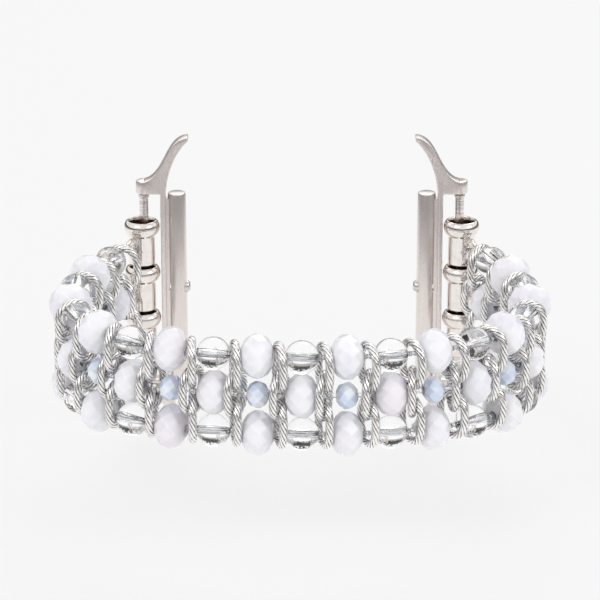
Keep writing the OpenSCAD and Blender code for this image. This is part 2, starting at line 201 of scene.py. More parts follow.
def choose(obj, kind, test):
    """Edit mode with the faces, edges or corners selected that pass the test."""
    edit(obj, kind, "DESELECT")
    mesh = bmesh.from_edit_mesh(obj.data)
    parts = {"FACE": mesh.faces, "EDGE": mesh.edges, "VERT": mesh.verts}[kind]
    found = [part for part in parts if test(part)]
    if not found:
        raise RuntimeError(f"{obj.name}: no {kind.lower()} to shape")
    for part in found:
        part.select_set(True)
    mesh.select_flush_mode()
    bmesh.update_edit_mesh(obj.data)


def modifier(obj, kind, **settings):
    """Adds a modifier with its settings and applies it."""
    only(obj)
    bpy.ops.object.modifier_add(type=kind)
    added = obj.modifiers[-1]
    for key, value in settings.items():
        setattr(added, key, value)
    bpy.ops.object.modifier_apply(modifier=added.name)
    return obj


def cut_or_join(obj, tool, operation):
    """Boolean of two closed shapes; the tool is used up."""
    modifier(obj, "BOOLEAN", object=tool, operation=operation, solver="EXACT")
    bpy.data.objects.remove(tool)
    return obj


def soft_edges(obj, width, angle, harden=False):
    """Rounds the edges that are sharper than an angle in degrees."""
    return modifier(obj, "BEVEL", width=width, segments=3, limit_method="ANGLE",
                    angle_limit=math.radians(angle), use_clamp_overlap=True,
                    harden_normals=harden)


def smooth(obj, angle=None):
    """Smooth shading, all over or across edges flatter than an angle in degrees."""
    only(obj)
    if angle is None:
        bpy.ops.object.shade_smooth()
    else:
        bpy.ops.object.shade_smooth_by_angle(angle=math.radians(angle))
    return obj


def into_mesh(obj):
    """Puts an object's place into its mesh."""
    only(obj)
    bpy.ops.object.transform_apply(location=True, rotation=True, scale=True)
    return obj


def settle(obj):
    """Puts a finished object's place into its mesh and turns its faces outwards."""
    into_mesh(obj)
    edit(obj)
    bpy.ops.mesh.remove_doubles(threshold=1e-7)
    bpy.ops.mesh.normals_make_consistent(inside=False)
    return leave(obj)


def copy_to(model, name, matrix):
    """A copy of a model with its own mesh, moved to its place."""
    mesh = model.data.copy()
    mesh.name = name
    mesh.transform(matrix)
    obj = bpy.data.objects.new(name, mesh)
    bpy.context.scene.collection.objects.link(obj)
    return obj


def hand_over(obj, body, slot, *nodes):
    """Lets a finished piece move with its body, in place of its CAD node."""
    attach(obj, body)
    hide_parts(*nodes)


def drop(model):
    bpy.data.objects.remove(model)


def turned(name, outline, steps):
    """Spins an outline of (radius, height) points, in mm, about Z into a closed shape."""
    start_clean()
    bpy.ops.mesh.primitive_circle_add(vertices=len(outline), radius=MM, fill_type="NOTHING")
    obj = bpy.context.object
    obj.name = name
    for vertex, (r, z) in zip(obj.data.vertices, outline):
        vertex.co = (r * MM, 0, z * MM)
    edit(obj, "VERT")
    bpy.ops.mesh.spin(steps=steps, angle=2 * math.pi, center=(0, 0, 0), axis=(0, 0, 1))
    bpy.ops.mesh.select_all(action="SELECT")
    bpy.ops.mesh.remove_doubles(threshold=1e-6)
    bpy.ops.mesh.normals_make_consistent(inside=False)
    return leave(obj)


def round_bar(name, radius, low, high, steps=32, chamfer=0.0):
    """A turned bar about Z with chamfered ends."""
    start_clean()
    bpy.ops.mesh.primitive_cylinder_add(vertices=steps, radius=radius, depth=high - low,
                                        location=(0, 0, (low + high) / 2))
    obj = into_mesh(bpy.context.object)
    obj.name = name
    if chamfer:
        choose(obj, "EDGE", lambda e: abs(e.verts[0].co.z - e.verts[1].co.z) < 1e-7)
        bpy.ops.mesh.bevel(offset=chamfer, segments=2, affect="EDGES")
        leave(obj)
    return obj


# colours and materials


def srgb(text):
    """Linear colour of an sRGB hex value."""
    parts = [int(text[i:i + 2], 16) / 255 for i in (1, 3, 5)]
    return tuple(c / 12.92 if c <= 0.04045 else ((c + 0.055) / 1.055) ** 2.4 for c in parts)


def feed(tree, socket, value):
    """Sets a socket's value, or links another socket to it."""
    if isinstance(value, bpy.types.NodeSocket):
        tree.links.new(value, socket)
    elif socket.type == "RGBA" and len(value) == 3:
        socket.default_value = (*value, 1)
    else:
        socket.default_value = value


def add_node(tree, kind, links=None, stops=(), **settings):
    """Adds a node; settings are its own, links are inputs by name: a value or a socket,
    and stops are the (position, linear colour) pairs of a colour ramp."""
    node = tree.nodes.new(kind)
    for key, value in settings.items():
        setattr(node, key, value)
    for name, value in (links or {}).items():
        feed(tree, node.inputs[name], value)
    for n, (position, colour) in enumerate(stops):
        elements = node.color_ramp.elements
        element = elements[n] if n < 2 else elements.new(position)
        element.position, element.color = position, (*colour[:3], 1)
    return node


def new_material(name, **sockets):
    """A Principled material with its constant values set on the shader's own sockets."""
    material = bpy.data.materials.new(name)
    material.use_nodes = True
    tree = material.node_tree
    shader = tree.nodes["Principled BSDF"]
    for key, value in sockets.items():
        feed(tree, shader.inputs[key.replace("_", " ")], value)
    place = add_node(tree, "ShaderNodeTexCoord").outputs["Object"]
    return material, tree, shader, place


def mottled(tree, place, scale, detail, stops):
    """Noise turned into colours; scale is 1 over the size of its patches in metres."""
    noise = add_node(tree, "ShaderNodeTexNoise",
                     {"Vector": place, "Scale": scale, "Detail": detail})
    tones = add_node(tree, "ShaderNodeValToRGB", {"Fac": noise.outputs["Fac"]}, stops)
    return noise.outputs["Fac"], tones.outputs["Color"]


def ripple(tree, shader, place, scale, detail, strength, distance):
    """Lets the surface wave; the scale is as in mottled, the distance in metres."""
    waves = add_node(tree, "ShaderNodeTexNoise",
                     {"Vector": place, "Scale": scale, "Detail": detail})
    bump = add_node(tree, "ShaderNodeBump", {"Height": waves.outputs["Fac"],
                                             "Strength": strength, "Distance": distance})
    feed(tree, shader.inputs["Normal"], bump.outputs["Normal"])


def white_stone(colours):
    """White jade, cut on a wheel and tumble polished: milky, with soft clouds, a soft
    gloss and a few dark specks."""
    made, tree, shader, place = new_material(
        "Polished_white_jade", Roughness=0.26, IOR=1.45, Coat_Weight=0.15, Coat_Roughness=0.06,
        Subsurface_Weight=0.5, Subsurface_Radius=(1.15, 1.15, 1.25), Subsurface_Scale=0.0014)
    # Clouds about 3 mm across inside the stone.
    _, base = mottled(tree, place, 300.0, 3.0,
                      ((0.32, colours.white_dark), (0.60, colours.white_light)))
    # Some beads are a touch pinker: a tint that changes over about 12 mm.
    _, pinker = mottled(tree, place, 85.0, 0.0, ((0.5, BLACK), (0.75, WHITE)))
    tinted = add_node(tree, "ShaderNodeMix", {"Factor": pinker, "A": base, "B": srgb("#FBF7F7")},
                      data_type="RGBA", blend_type="MULTIPLY")
    # Specks of 0.1 to 0.2 mm, few and far between.
    specks = add_node(tree, "ShaderNodeTexVoronoi", {"Vector": place, "Scale": 420.0})
    spot = add_node(tree, "ShaderNodeValToRGB", {"Fac": specks.outputs["Distance"]},
                    ((0.035, WHITE), (0.06, BLACK)))
    _, some = mottled(tree, place, 200.0, 0.0, ((0.56, BLACK), (0.61, WHITE)))
    where = add_node(tree, "ShaderNodeMath", {0: spot.outputs["Color"], 1: some},
                     operation="MULTIPLY")
    specked = add_node(tree, "ShaderNodeMix",
                       {"Factor": where.outputs["Value"], "A": tinted.outputs["Result"],
                        "B": srgb("#7E7A78")}, data_type="RGBA")
    feed(tree, shader.inputs["Base Color"], specked.outputs["Result"])
    # Polishing leaves a surface that waves slightly over half a millimetre.
    ripple(tree, shader, place, 1800.0, 2.0, 0.12, 0.00004)
    return made


def blue_opal(colours):
    """Opal glass, pressed and tumbled: pale blue with a pearly cloud, mirror-smooth facets."""
    made, tree, shader, place = new_material(
        "Pale_blue_opal_glass", Roughness=0.12, IOR=1.5, Coat_Weight=0.6, Coat_Roughness=0.03,
        Subsurface_Weight=0.2, Subsurface_Radius=(0.9, 1.0, 1.3), Subsurface_Scale=0.0006)
    # Clouds about 2 mm across.
    _, base = mottled(tree, place, 480.0, 2.0,
                      ((0.38, colours.blue), (0.58, colours.blue_light)))
    feed(tree, shader.inputs["Base Color"], base)
    return made


def clear_glass(colours):
    """Clear glass, moulded and fire polished: bright, with a mirror gloss and a thin dark
    outline."""
    made, tree, shader, place = new_material(
        "Clear_fire_polished_glass", Base_Color=tuple(colours.clear), Roughness=0.01, IOR=1.5,
        Transmission_Weight=1.0)
    # A moulded bead waves a little over a millimetre.
    ripple(tree, shader, place, 900.0, 1.0, 0.25, 0.0001)
    # Clear glass throws hardly any shadow.
    rays = add_node(tree, "ShaderNodeLightPath")
    solid = add_node(tree, "ShaderNodeMapRange",
                     {"Value": rays.outputs["Is Shadow Ray"], "To Min": 1.0, "To Max": 0.15})
    feed(tree, shader.inputs["Alpha"], solid.outputs["Result"])
    return made


def crackle_and_painted_refraction(colours):
    """Crackle inside the glass, from quenching it, kept where it paints the dark room seen through
    the bead: fine dark threads with clear glass between, a painted dark refraction.
    """
    made, tree, shader, place = new_material(
        "Crackle_and_painted_dark_refraction", Base_Color=srgb("#2A2B34"), Roughness=0.25)
    # The threads branch over half a millimetre.
    _, thread = mottled(tree, place, 2000.0, 3.0,
                        ((0.45, BLACK), (0.47, WHITE), (0.575, WHITE), (0.595, BLACK)))
    feed(tree, shader.inputs["Alpha"], thread)
    return made


def twisted_wire(colours):
    """Rhodium-plated brass wires twisted into a rope: bright ridges, with painted shade dark in the
    grooves.
    """
    made, tree, shader, place = new_material(
        "Bright_twisted_plated_wire", Metallic=1.0, Roughness=0.2)
    groove = add_node(tree, "ShaderNodeAttribute", attribute_name="groove")
    # The painted shade in the grooves varies at random over half a millimetre.
    uneven = add_node(tree, "ShaderNodeTexNoise", {"Vector": place, "Scale": 1700.0, "Detail": 3.0})
    shift = add_node(tree, "ShaderNodeMapRange",
                     {"Value": uneven.outputs["Fac"], "From Min": 0.3, "From Max": 0.7,
                      "To Min": -0.24, "To Max": 0.36})
    depth = add_node(tree, "ShaderNodeMath",
                     {0: groove.outputs["Fac"], 1: shift.outputs["Result"]}, operation="ADD")
    # Painted shade: the colour darkens towards the bottom of the grooves.
    base = add_node(tree, "ShaderNodeValToRGB", {"Fac": depth.outputs["Value"]},
                    ((0.48, colours.link), (0.58, srgb("#ABA7A5")), (0.66, srgb("#403C3B")),
                     (0.85, srgb("#161413"))))
    feed(tree, shader.inputs["Base Color"], base.outputs["Color"])
    rough = add_node(tree, "ShaderNodeMapRange",
                     {"Value": depth.outputs["Value"], "To Min": 0.22, "To Max": 0.5})
    feed(tree, shader.inputs["Roughness"], rough.outputs["Result"])
    return made


def polished_plate(colours):
    """Turned brass with polished nickel plating: mirror bright, warm in its reflections."""
    made, tree, shader, place = new_material(
        "Polished_nickel_plate", Metallic=1.0, Roughness=0.07)
    # Handling dulls it in patches of a millimetre or two.
    marks, base = mottled(tree, place, 700.0, 4.0, ((0.35, srgb("#E6DFDA")), (0.6, colours.bail)))
    feed(tree, shader.inputs["Base Color"], base)
    rough = add_node(tree, "ShaderNodeMapRange",
                     {"Value": marks, "To Min": 0.04, "To Max": 0.11})
    feed(tree, shader.inputs["Roughness"], rough.outputs["Result"])
    return made


def brass_bore_and_painted_shade(colours):
    """Inside of a bail, which the plating bath hardly reaches: dull brown brass, painted darker as
    shade in the mouth and the bore.
    """
    made, tree, shader, place = new_material(
        "Brass_bore_and_painted_shade", Metallic=1.0, Roughness=0.38)
    # Stains of about 0.8 mm.
    _, base = mottled(tree, place, 1300.0, 3.0, ((0.4, srgb("#4B3D35")), (0.62, srgb("#7A6A5E"))))
    feed(tree, shader.inputs["Base Color"], base)
    return made


def satin_steel(colours):
    """Stainless steel, bead blasted to a satin: even, soft reflections, hardly any texture."""
    made, tree, shader, place = new_material(
        "Satin_stainless_steel", Metallic=1.0, Roughness=0.34)
    # The dimples of the blasting, half as wide in truth, are drawn at 0.1 mm to show.
    _, base = mottled(tree, place, 9000.0, 2.0, ((0.3, srgb("#D9D0CB")), (0.65, colours.steel)))
    feed(tree, shader.inputs["Base Color"], base)
    ripple(tree, shader, place, 9000.0, 2.0, 0.1, 0.00001)
    return made


def drawn_steel(colours):
    """Drawn and centreless-ground steel bar: bright, with faint rings 0.15 mm apart."""
    made, tree, shader, place = new_material(
        "Ground_bright_steel", Metallic=1.0, Roughness=0.2)
    stretch = add_node(tree, "ShaderNodeMapping", {"Vector": place, "Scale": (300, 300, 6500)})
    _, base = mottled(tree, stretch.outputs["Vector"], 1.0, 2.0,
                      ((0.35, srgb("#BFB8B3")), (0.65, colours.steel)))
    feed(tree, shader.inputs["Base Color"], base)
    return made


def elastic_cord(colours):
    """Extruded clear polyurethane elastic: smooth, glossy and nearly as clear as the beads."""
    made, tree, shader, place = new_material(
        "Clear_elastic_polyurethane", Base_Color=tuple(colours.cord), Roughness=0.03, IOR=1.42,
        Transmission_Weight=0.9)
    # The die leaves faint waves along the cord, about a millimetre long.
    ripple(tree, shader, place, 1200.0, 1.0, 0.15, 0.00005)
    return made


MATERIALS = {}


def coat(obj, *finishes):
    """Gives an object its finishes; each is made into a material when it is first used."""
    obj.data.materials.clear()
    for make in finishes:
        if make.__name__ not in MATERIALS:
            MATERIALS[make.__name__] = make(bpy.context.scene.strap_colours)
        obj.data.materials.append(MATERIALS[make.__name__])
    return obj


# values a user would change


def length(name, about, value):
    return FloatProperty(name=name, description=about, default=value * MM, min=0.0,
                         precision=5, subtype="DISTANCE", unit="LENGTH")


def colour(name, about, value):
    return FloatVectorProperty(name=name, description=about, default=srgb(value), size=3,
                               min=0.0, max=1.0, subtype="COLOR")


class StrapSizes(bpy.types.PropertyGroup):
    """Sizes of the strap's pieces"""

    white_d: length("White bead diameter", "Widest diameter of a white bead", 7.0)
    white_len: length("White bead length", "Length of a white bead along its cord", 4.9)
    blue_d: length("Blue bead diameter", "Widest diameter of a blue bead", 4.2)
    blue_len: length("Blue bead length", "Length of a blue bead along its cord", 3.3)
    clear_d: length("Clear bead diameter", "Diameter of a clear bead", 5.2)
    bore_d: length("Bore diameter", "Diameter of the bore through the faceted beads", 1.2)
    clear_bore_d: length("Clear bead bore", "Diameter of the bore through a clear bead", 0.86)
    cord_d: length("Cord diameter", "Diameter of an elastic cord", 0.8)
    wire_d: length("Link wire diameter", "Thickness of the twisted wire of a link", 1.3)
    link_w: length("Link half width", "Half width of a link to the middle of its wire", 2.6)
    link_h: length("Link half height", "Half height of a link to the middle of its wire", 3.4)
    link_turn: FloatProperty(name="Link turn", description="Turn of each link about the vertical",
                             default=math.radians(17.5), subtype="ANGLE", unit="ROTATION")
    last_turn: FloatProperty(name="Last link turn", description="Turn of the links at the bails",
                             default=math.radians(20), subtype="ANGLE", unit="ROTATION")
    twist: length("Twist", "Length in which the strands of a link go once round", 7.0)
    strands: IntProperty(name="Strands", description="Strands of the wire that a link is made of",
                         default=7, min=3, max=12)


class StrapColours(bpy.types.PropertyGroup):
    """Colours of the strap's finishes"""

    white_light: colour("White stone, light", "Lightest colour of the white beads", "#F3F3F8")
    white_dark: colour("White stone, dark", "Darkest colour of the white beads", "#E8E7EF")
    blue: colour("Blue glass", "Deepest colour of the blue beads", "#D3E0F5")
    blue_light: colour("Blue glass, light", "Palest colour of the blue beads", "#EDF2FA")
    clear: colour("Clear glass", "Tint of the clear beads", "#FEFEFF")
    link: colour("Link wire", "Colour of the ridges of the twisted wire", "#F8F6F4")
    bail: colour("Bail plating", "Colour of the polished bails", "#EFE9E4")
    steel: colour("Adapter steel", "Colour of the satin adapters", "#F2EBE7")
    cord: colour("Cord", "Colour of the elastic cords", "#FCFDFD")


# beads


def cut_bead(name, half_length, radius, sides, bore, worn):
    """A faceted rondelle about X: staggered rings of corners, wrapped, bored and polished;
    worn is the width of its rounded edges as a share of its radius."""
    # Each ring's place along the bead, its width and its stagger, as shares of the bead's.
    rings = [(1.0, 0.40, 0.0), (0.71, 0.79, 0.5), (0.27, 1.0, 0.0),
             (-0.27, 1.0, 0.5), (-0.71, 0.79, 0.0), (-1.0, 0.40, 0.5)]
    start_clean()
    for n, (height, wide, stagger) in enumerate(rings):
        bpy.ops.mesh.primitive_circle_add(
            vertices=sides, radius=radius * wide, fill_type="NOTHING",
            location=(0, 0, height * half_length),
            rotation=(0, 0, 2 * math.pi * stagger / sides))
        if n == 0:
            obj = into_mesh(bpy.context.object)
            obj.name = name
            bpy.ops.object.mode_set(mode="EDIT")
    edit(obj)
    bpy.ops.mesh.convex_hull()
    bpy.ops.mesh.select_all(action="SELECT")
    bpy.ops.mesh.dissolve_limited(angle_limit=math.radians(2))
    choose(obj, "FACE", lambda f: abs(f.normal.z) > 0.99)
    apothem = radius * rings[0][1] * math.cos(math.pi / sides)
    bpy.ops.mesh.inset(thickness=apothem - bore)
    bpy.ops.mesh.bridge_edge_loops()
    leave(obj)
    obj.rotation_euler = (0, math.pi / 2, 0)
    smooth(settle(obj))
    return soft_edges(obj, worn * radius, 12, harden=True)


def on_cord(model, kind, draw, side, n, word):
    """A copy of a bead's model in its row at column n, turned at random on the cord."""
    row = ROWS[word]
    place = placed(column_point(side, n), outward(side, n), draw.uniform(0, 2 * math.pi),
                   row * row_z(n), draw)
    return copy_to(model, named(kind, side, n, word if row else ""), place)


class STRAP_OT_white_beads(bpy.types.Operator):
    """Cut, bore and polish the white beads and string them on their columns"""

    bl_idname = "strap.white_beads"
    bl_label = "White beads"

    def execute(self, context):
        sizes = context.scene.strap_sizes
        draw = random.Random(31)
        model = cut_bead("white_bead", sizes.white_len / 2, sizes.white_d / 2, 9,
                         sizes.bore_d / 2, 0.09)
        coat(model, white_stone)
        for side, n, body in columns():
            for word in ("upper", "lower") if n % 2 else ("middle",):
                bead = on_cord(model, "white_bead", draw, side, n, word)
                hand_over(bead, body, "white_bead", named("bead_column", side, n))
        drop(model)
        return {"FINISHED"}


class STRAP_OT_blue_beads(bpy.types.Operator):
    """Cut, bore and polish the small blue beads and string them on the middle row"""

    bl_idname = "strap.blue_beads"
    bl_label = "Blue beads"

    def execute(self, context):
        sizes = context.scene.strap_sizes
        draw = random.Random(12)
        model = cut_bead("blue_bead", sizes.blue_len / 2, sizes.blue_d / 2, 7,
                         sizes.bore_d / 2, 0.035)
        coat(model, blue_opal)
        for side, n, body in columns():
            if n % 2:
                bead = on_cord(model, "blue_bead", draw, side, n, "middle")
                hand_over(bead, body, "blue_bead", named("bead_column", side, n))
        drop(model)
        return {"FINISHED"}


def clear_bead_model(radius, bore):
    """A round bead about X with a bore and a worn edge round each mouth of it."""
    start_clean()
    bpy.ops.mesh.primitive_uv_sphere_add(segments=40, ring_count=24, radius=radius)
    obj = bpy.context.object
    cut_or_join(obj, round_bar("bore", bore, -radius * 1.2, radius * 1.2, 40), "DIFFERENCE")
    mouth = math.sqrt(radius ** 2 - bore ** 2)
    choose(obj, "EDGE", lambda e: all(
        abs(v.co.xy.length - bore) < 1e-6 and abs(abs(v.co.z) - mouth) < 0.1 * MM
        for v in e.verts))
    bpy.ops.mesh.bevel(offset=0.08 * MM, segments=2, affect="EDGES")
    leave(obj)
    smooth(obj, 50)
    obj.rotation_euler = (0, math.pi / 2, 0)
    return settle(obj)


def dark_veil_towards_camera(draw, radius):
    """A crumpled veil of crackle low inside a clear bead, on the side that faces out (-Y), towards
    the camera, where it paints the dark room seen through the glass: a painted dark refraction.
    """
    start_clean()
    bpy.ops.mesh.primitive_uv_sphere_add(segments=36, ring_count=24, radius=radius * 0.84)
    obj = bpy.context.object
    wide, high = draw.uniform(0.55, 0.85), draw.uniform(0.22, 0.38)
    lean = draw.uniform(-0.15, 0.15)

    def outside(face):
        """Beyond an uneven oval round a point below the front of the bead."""
        c = face.calc_center_median().normalized()
        across = math.atan2(c.x, -c.y) - lean
        down = math.asin(-c.z) - 0.5
        edge = 1 + 0.25 * math.sin(7 * across + 3 * lean) * math.cos(11 * down)
        return c.y > -0.1 or (across / wide) ** 2 + (down / high) ** 2 > edge ** 2

    choose(obj, "FACE", outside)
    bpy.ops.mesh.delete(type="FACE")
    leave(obj)
    for vertex in obj.data.vertices:
        vertex.co *= 1 + draw.uniform(-0.05, 0.03)
    modifier(obj, "SOLIDIFY", thickness=0.03 * MM, offset=-1.0)
    return settle(obj)


class STRAP_OT_clear_beads(bpy.types.Operator):
    """Mould the clear glass beads with crackle inside and string them on their columns"""

    bl_idname = "strap.clear_beads"
    bl_label = "Clear beads"

    def execute(self, context):
        sizes = context.scene.strap_sizes
        draw = random.Random(7)
        model = coat(clear_bead_model(sizes.clear_d / 2, sizes.clear_bore_d / 2), clear_glass)
        for side, n, body in columns():
            if n % 2:
                continue
            for word in ("upper", "lower"):
                bead = on_cord(model, "clear_bead", draw, side, n, word)
                # Every veil faces the camera, low in its bead: painted dark refraction, drawn as
                # crackle threads.
                veil = coat(dark_veil_towards_camera(draw, sizes.clear_d / 2), crackle_and_painted_refraction)
                if side == "left":
                    veil.data.transform(Matrix.Rotation(math.pi, 4, "Z"))
                veil.data.transform(placed(column_point(side, n), outward(side, n),
                                           lift=ROWS[word] * row_z(n)))
                only(bead)
                veil.select_set(True)
                bpy.ops.object.join()
                hand_over(bead, body, "clear_bead", named("bead_column", side, n))
        drop(model)
        return {"FINISHED"}


# links and cords


def link_model(sizes):
    """An oval link of twisted strands: a lobed section screwed into a rope, then bent round."""
    strands, steps, reach = sizes.strands, 96, sizes.wire_d / 2
    straight = sizes.link_h - sizes.link_w
    half = math.pi * sizes.link_w
    around = 2 * half + 4 * straight
    # Height of the section over one strand, from the bottom of its groove.
    lobe = (0.83, 0.96, 1.0, 0.955, 1.0, 0.96)
    start_clean()
    bpy.ops.mesh.primitive_circle_add(vertices=strands * len(lobe), radius=1.0,
                                      fill_type="NOTHING")
    obj = bpy.context.object
    obj.name = "link"
    for n, vertex in enumerate(obj.data.vertices):
        vertex.co *= lobe[n % len(lobe)] * reach
    # A whole number of strands closes the link.
    turns = round(around / sizes.twist * strands) / strands
    modifier(obj, "SCREW", axis="Z", angle=2 * math.pi * turns, screw_offset=around,
             steps=steps, render_steps=steps, use_merge_vertices=False,
             use_smooth_shade=True)
    # Depth into the grooves, which the wire's material paints as shade.
    groove = obj.data.attributes.new("groove", "FLOAT", "POINT")
    for vertex, value in zip(obj.data.vertices, groove.data):
        depth = (1.0 - vertex.co.xy.length / reach) / (1.0 - min(lobe))
        value.value = min(1.0, max(0.0, depth))
    # Bent round the oval: straights at both sides, half circles above and below.
    for vertex in obj.data.vertices:
        x, y, s = vertex.co
        wide = sizes.link_w + x
        if s < 2 * straight:
            vertex.co = (y, wide, s - straight)
        elif s < 2 * straight + half:
            a = (s - 2 * straight) / sizes.link_w
            vertex.co = (y, wide * math.cos(a), straight + wide * math.sin(a))
        elif s < 4 * straight + half:
            vertex.co = (y, -wide, straight - (s - 2 * straight - half))
        else:
            a = (s - 4 * straight - half) / sizes.link_w
            vertex.co = (y, -wide * math.cos(a), -straight - wide * math.sin(a))
    edit(obj, "VERT")
    bpy.ops.mesh.remove_doubles(threshold=2e-5)
    bpy.ops.mesh.normals_make_consistent(inside=False)
    return smooth(obj)


class STRAP_OT_links(bpy.types.Operator):
    """Twist and bend the wire links and hang a chain of three in every gap"""

    bl_idname = "strap.links"
    bl_label = "Wire links"

    def execute(self, context):
        sizes = context.scene.strap_sizes
        draw = random.Random(5)
        model = coat(link_model(sizes), twisted_wire)
        for side in SIDES:
            for i in range(COLUMNS + 1):
                inner, outer = outward(side, i), outward(side, i + 1)
                # Towards the wrist by 0.024 mm for each degree that the gap bends.
                shift = 0.024 * MM * math.degrees(inner.angle(outer))
                # From link to link, a little more where the cords spread.
                rise = 4.5 * MM + 0.3 * (cord_z(i) - row_z(0))
                swing = sizes.link_turn
                if i == COLUMNS:
                    # The last chain stands clear of the knots of the cords.
                    rise, swing = rise + 0.35 * MM, sizes.last_turn
                frame_of_gap = placed(gap(side, i), inner + outer)
                inward = shift if side == "right" else -shift
                for word, row in ROWS.items():
                    turn = -swing if row == 0 else swing
                    place = (frame_of_gap @ Matrix.Translation((0, inward, row * rise))
                             @ Matrix.Rotation(turn, 4, "Z"))
                    # Each link has another part of its twist at the front.
                    place = place @ Matrix.Rotation(math.pi, 4, draw.choice("XYZ"))
                    link = copy_to(model, named("link", side, i + 1, word), place)
                    hand_over(link, f"links_{side}_{i + 1}", "link_wire",
                              f"link_chain_{side}_{i + 1}")
        drop(model)
        return {"FINISHED"}


def cord_piece(name, start, end, radius):
    """A run of cord from point to point with round ends."""
    reach = end - start
    start_clean()
    bpy.ops.mesh.primitive_uv_sphere_add(segments=16, ring_count=10, radius=radius)
    obj = bpy.context.object
    obj.name = name
    choose(obj, "VERT", lambda v: v.co.z > 1e-7)
    bpy.ops.transform.translate(value=(0, 0, reach.length))
    smooth(obj)
    turn = UP.rotation_difference(reach).to_matrix().to_4x4()
    obj.data.transform(Matrix.Translation(start) @ turn)
    return obj


def cord_end(name, side, row, radius):
    """The end of a cord: its last run with a knot and the loop through the bail's eye."""
    out = outward(side, COLUMNS + 1)
    height = UP * row * CORD_END_Z
    last = bar(side) - out * KNOT_X + height
    piece = cord_piece(name, gap(side, COLUMNS) + UP * row * cord_z(COLUMNS), last, radius)
    start_clean()
    bpy.ops.mesh.primitive_torus_add(
        major_segments=32, minor_segments=12, major_radius=LOOP_R, minor_radius=radius,
        location=bar(side) - out * LOOP_X + height)
    loop = bpy.context.object
    start_clean()
    bpy.ops.mesh.primitive_uv_sphere_add(segments=20, ring_count=12, radius=KNOT_R,
                                         location=last)
    for part in (loop, bpy.context.object):
        cut_or_join(piece, smooth(into_mesh(part)), "UNION")
    return smooth(settle(piece), 60)


class STRAP_OT_cords(bpy.types.Operator):
    """Draw the clear elastic cords through the beads and tie them to the bails"""

    bl_idname = "strap.cords"
    bl_label = "Elastic cords"

    def execute(self, context):
        radius = context.scene.strap_sizes.cord_d / 2
        for word, row in ROWS.items():
            pieces = []
            for side, n, body in columns():
                # The middle column's cord comes from the left side's first gap.
                before, i = (side, n - 1) if n else ("left", 0)
                run = cord_piece(named(f"cord_{word}_at", side, n),
                                 gap(before, i) + UP * row * cord_z(i),
                                 gap(side, n) + UP * row * cord_z(n), radius)
                pieces.append((run, body))
            for side in SIDES:
                pieces.append((cord_end(f"cord_{word}_{side}_end", side, row, radius),
                               f"bails_{side}"))
            for piece, body in pieces:
                hand_over(coat(piece, elastic_cord), body, "cord", f"cord_{word}")
        return {"FINISHED"}


# end fittings


def bail_model():
    """A bail about the spring bar: turned tube with a rolled rim, bored, with its eye.
    The outline runs up the outside, over the rim and down into the mouth."""
    outline = [(0.0, 0.0), (1.75, 0.0), (1.98, 0.06), (2.12, 0.20), (2.2, 0.42), (2.2, 2.7),
               (2.2, 4.95), (2.28, 5.12), (2.50, 5.33), (2.74, 5.64), (2.91, 6.05),
               (2.99, 6.45), (2.97, 6.85), (2.86, 7.20), (2.67, 7.48), (2.46, 7.66),
               (2.32, 7.70), (2.19, 7.61), (2.12, 7.40), (2.09, 6.90), (2.02, 6.2),
               (1.86, 5.45), (1.55, 4.8), (1.22, 4.3), (1.0, 3.8), (0.93, 3.36), (0.0, 3.3)]
    obj = turned("bail", outline, 56)
    obj.data.transform(Matrix.Translation((-BAIL_OFFSET, 0, 0)))
    start_clean()
    bpy.ops.mesh.primitive_torus_add(
        major_segments=40, minor_segments=18, major_radius=1.0 * MM, minor_radius=0.35 * MM,
        location=(-3.55 * MM, 0, EYE_Z), rotation=(math.pi / 2, 0, 0))
    cut_or_join(obj, into_mesh(bpy.context.object), "UNION")
    cut_or_join(obj, round_bar("bore", 0.8 * MM, -1 * MM, 8.7 * MM, 40), "DIFFERENCE")
    return smooth(settle(obj), 38)


class STRAP_OT_bails(bpy.types.Operator):
    """Turn, roll and polish the bails and stack three on each spring bar"""

    bl_idname = "strap.bails"
    bl_label = "Bails"

    def execute(self, context):
        model = coat(bail_model(), polished_plate, brass_bore_and_painted_shade)

        def inside(face):
            """In the mouth or the bore, where the surface looks at the turning axis."""
            c = face.calc_center_median()
            across = Vector((c.x + BAIL_OFFSET, c.y))
            return (across.length < 2.08 * MM and c.z > 3.2 * MM
                    and (face.normal.z > 0.5 or across.dot(face.normal.xy) < 0))

        choose(model, "FACE", inside)
        # The mouth and the bore take the dark brass: painted shade in the recess.
        model.active_material_index = 1
        bpy.ops.object.material_slot_assign()
        leave(model)
        for side in SIDES:
            for word, row in ROWS.items():
                place = placed(bar(side), outward(side, COLUMNS + 1),
                               lift=row * BAIL_PITCH - EYE_Z)
                hand_over(copy_to(model, f"bail_{side}_{word}", place), f"bails_{side}",
                          "bail_chrome", f"bails_{side}")
        drop(model)
        return {"FINISHED"}


def at_bar(obj, side):
    """Moves a model to the spring bar, its X axis away from the middle of the loop."""
    sign = 1 if side == "right" else -1
    obj.data.transform(Matrix.Diagonal((sign, 1, 1, 1)))
    obj.data.transform(Matrix.Translation(bar(side)))
    if sign < 0:
        obj.data.flip_normals()
    return obj


def bar_tube_model():
    """The tube of the spring bar about Z, with a collar near each end and a bore."""
    half, r, collar, bore = 16.1, 0.75, 0.9, 0.55
    outline = [(bore, -half), (collar - 0.06, -half), (collar, -half + 0.06),
               (collar, -half + 0.34), (collar - 0.06, -half + 0.4), (r, -half + 0.42),
               (r, half - 0.42), (collar - 0.06, half - 0.4), (collar, half - 0.34),
               (collar, half - 0.06), (collar - 0.06, half), (bore, half)]
    return smooth(turned("tube", outline, 40), 30)


def tip_model():
    """A sprung tip about Z, its end at the top, with a rounded nose."""
    outline = [(0.0, 12.0), (0.45, 12.0), (0.5, 12.06), (0.5, 17.1), (0.47, 17.24),
               (0.38, 17.35), (0.2, 17.4), (0.0, 17.4)]
    return smooth(turned("tip", outline, 32), 30)


